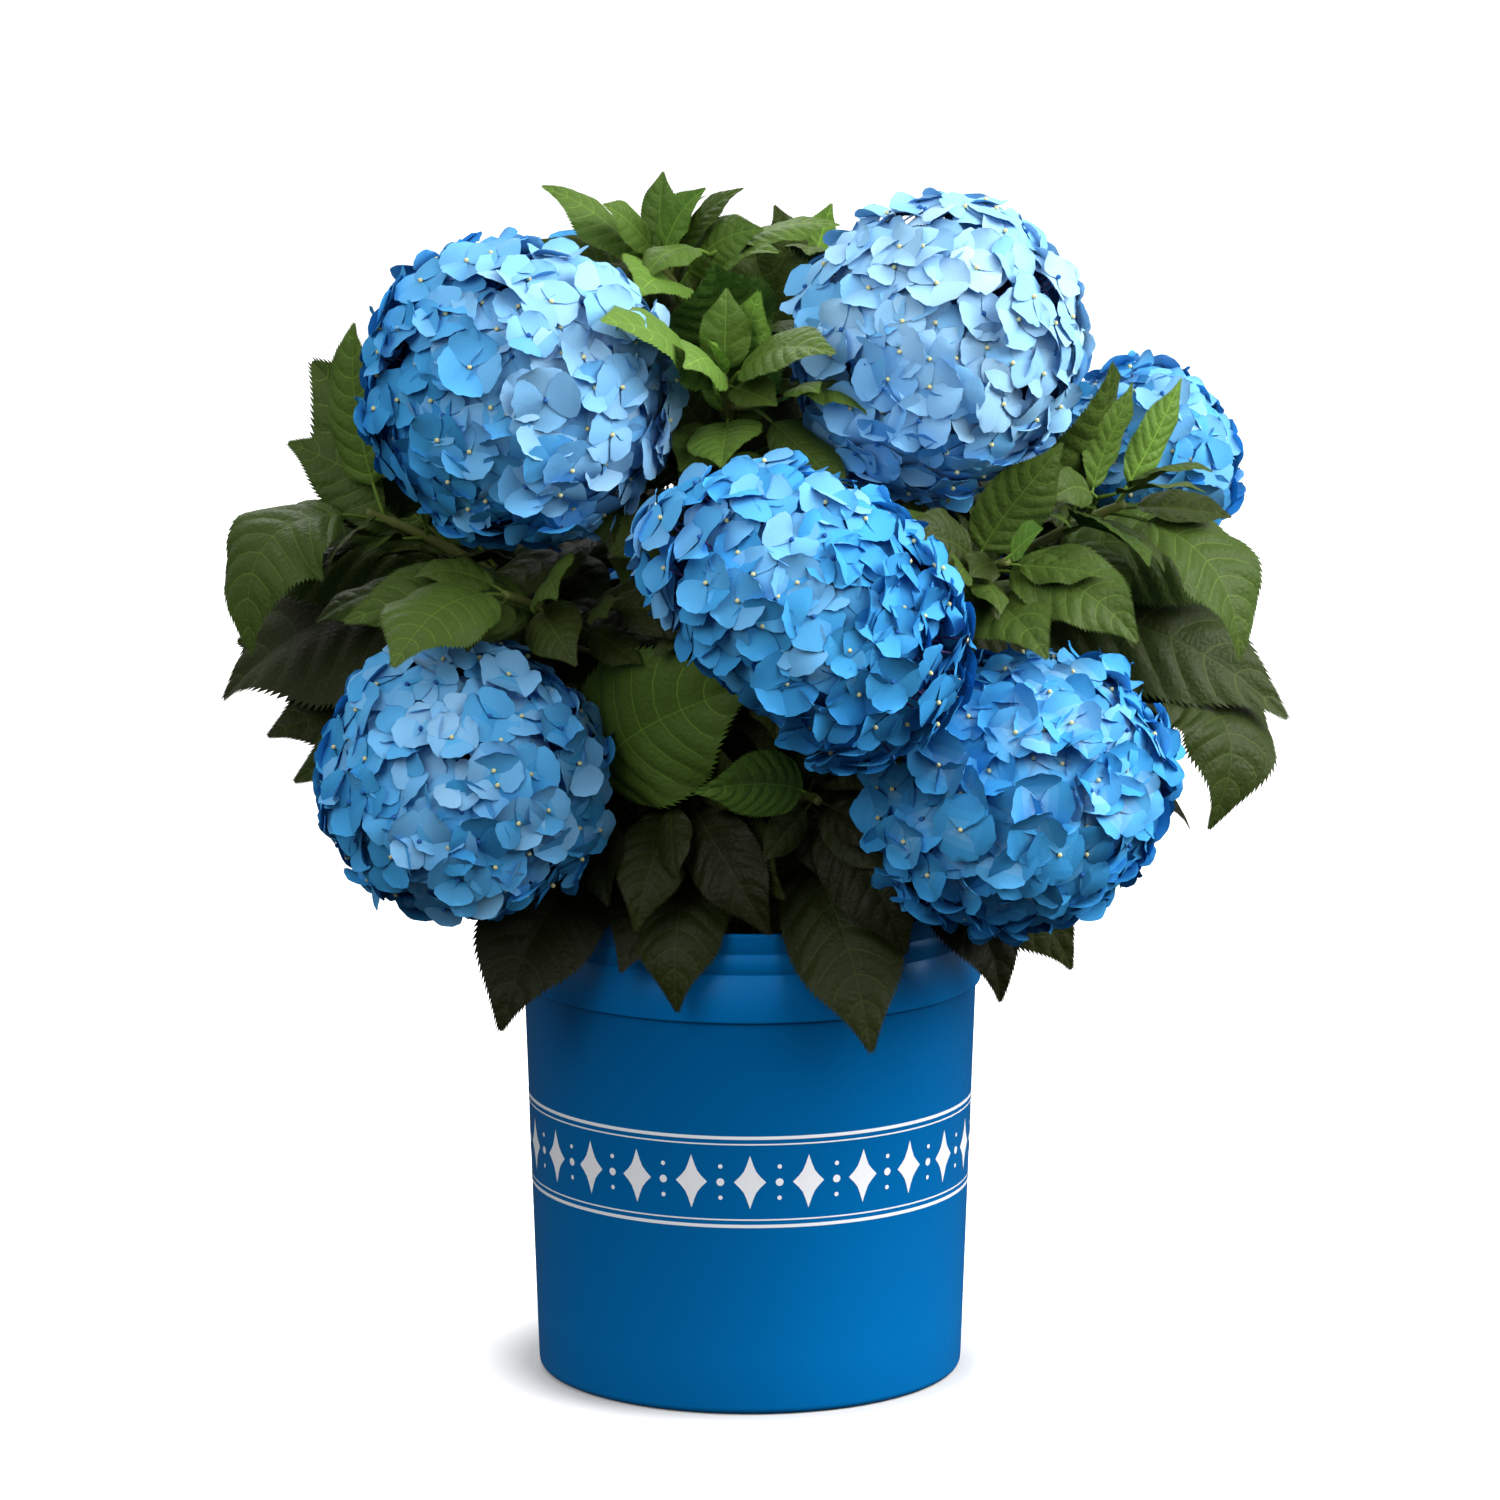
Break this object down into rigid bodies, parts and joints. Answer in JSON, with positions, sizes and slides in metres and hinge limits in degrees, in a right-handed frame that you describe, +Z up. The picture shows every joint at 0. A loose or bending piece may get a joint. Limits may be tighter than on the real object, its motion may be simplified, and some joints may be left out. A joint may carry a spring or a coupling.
{
  "type": "potted hydrangea shrub",
  "caption": "Round flowering shrub with large globe-shaped flower heads and broad toothed leaves, growing from a ring of canes in a bucket-shaped pot.",
  "frame": {"origin": "centre of the pot's flat underside, which stands on the ground", "axes": "+Z up along the pot's axis; the front of the plant, where most flower heads face, looks along -Y; +X is to the right seen from the front"},
  "size_m": [0.574, 0.5465, 0.651],
  "materials": {
    "pot": "satin moulded plastic",
    "soil": "crumbly potting mix",
    "stem": "smooth green-brown bark",
    "leaf": "satin veined leaf",
    "petal": "matt petal"
  },
  "bodies": {
    "root": {"pot": "pot", "soil": "soil", "stem_base": "stem", "cane_upper_left": "stem", "cane_upper_right": "stem", "cane_far_right": "stem", "cane_centre": "stem", "cane_lower_left": "stem", "cane_lower_right": "stem", "cane_back_left": "stem", "cane_back_right": "stem", "cane_back_low": "stem", "cane_crown_top": "stem", "cane_middle": "stem", "cane_back_top": "stem", "cane_left_front": "stem", "cane_left": "stem", "cane_left_low": "stem", "cane_back_left_low": "stem", "cane_right_front": "stem", "cane_right": "stem", "cane_right_low": "stem", "cane_back_right_low": "stem", "cane_front_low_left": "stem", "cane_front_low_right": "stem", "foliage_upper_left": "leaf", "foliage_upper_right": "leaf", "foliage_far_right": "leaf", "foliage_centre": "leaf", "foliage_lower_left": "leaf", "foliage_lower_right": "leaf", "foliage_back_left": "leaf", "foliage_back_right": "leaf", "foliage_back_low": "leaf", "foliage_crown_top": "leaf", "foliage_middle": "leaf", "foliage_back_top": "leaf", "foliage_left_front": "leaf", "foliage_left": "leaf", "foliage_left_low": "leaf", "foliage_back_left_low": "leaf", "foliage_right_front": "leaf", "foliage_right": "leaf", "foliage_right_low": "leaf", "foliage_back_right_low": "leaf", "foliage_front_low_left": "leaf", "foliage_front_low_right": "leaf", "bloom_upper_left": "petal", "bloom_upper_right": "petal", "bloom_far_right": "petal", "bloom_centre": "petal", "bloom_lower_left": "petal", "bloom_lower_right": "petal", "bloom_back_left": "petal", "bloom_back_right": "petal", "bloom_back_low": "petal"}
  },
  "joints": []
}
